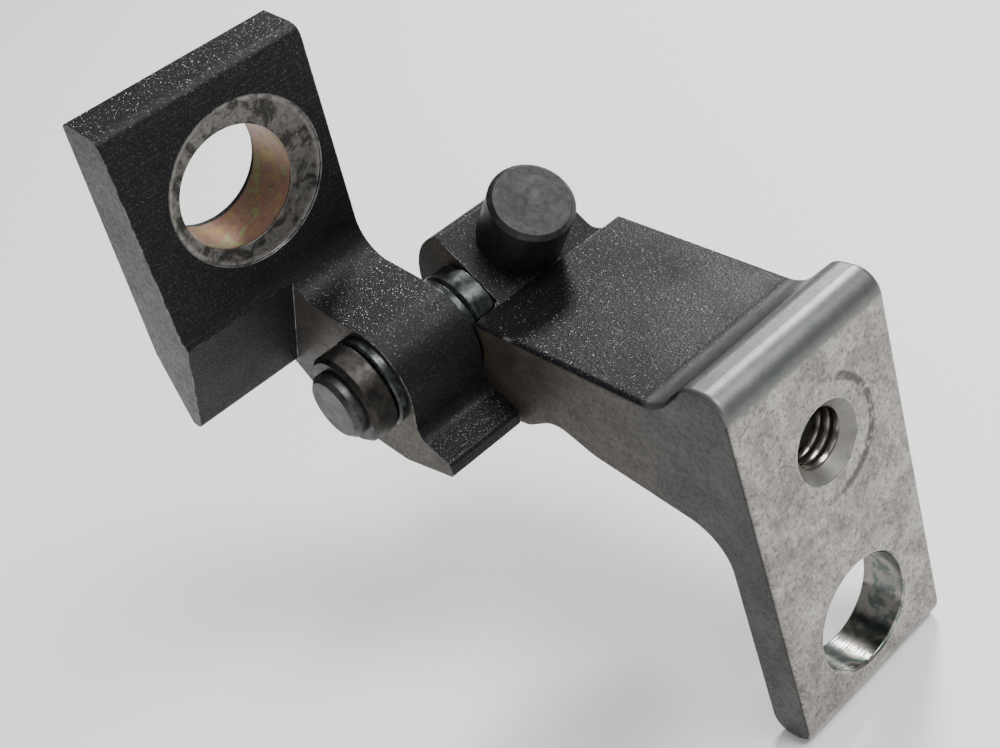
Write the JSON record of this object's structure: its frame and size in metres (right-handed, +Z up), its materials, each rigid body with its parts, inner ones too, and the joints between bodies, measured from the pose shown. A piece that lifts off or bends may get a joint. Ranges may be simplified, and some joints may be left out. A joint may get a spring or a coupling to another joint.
{
  "type": "door hinge",
  "caption": "Two-leaf steel door hinge: an angled pillar leaf with a stop stud, and a plate-shaped door leaf that swings on a riveted pin.",
  "frame": {"origin": "middle of the pillar leaf's mounting face, halfway between its threaded and plain holes", "axes": "+X is the outward normal of the mounting face; +Z runs up that face to the arm; +Y completes the set and lies along the hinge pin, whose riveted end is towards -Y"},
  "size_m": [0.0802, 0.0622, 0.1044],
  "materials": {
    "coated_steel": "satin",
    "pin_steel": "satin",
    "ring_steel": "semi-gloss",
    "stud_steel": "satin"
  },
  "bodies": {
    "pillar_side": {"pillar_leaf": "coated_steel", "hinge_pin": "pin_steel", "retaining_collar": "pin_steel", "thrust_washer": "ring_steel", "stop_stud": "stud_steel"},
    "door_side": {"door_leaf": "coated_steel", "inner_bush": "ring_steel", "outer_bush": "ring_steel"}
  },
  "joints": [
    {"name": "door_swing", "type": "hinge", "parent": "pillar_side", "child": "door_side", "pos_m": [-0.0544, -0.02, 0.0276], "axis": [0, -1, 0], "range_deg": [-35, 75]}
  ]
}
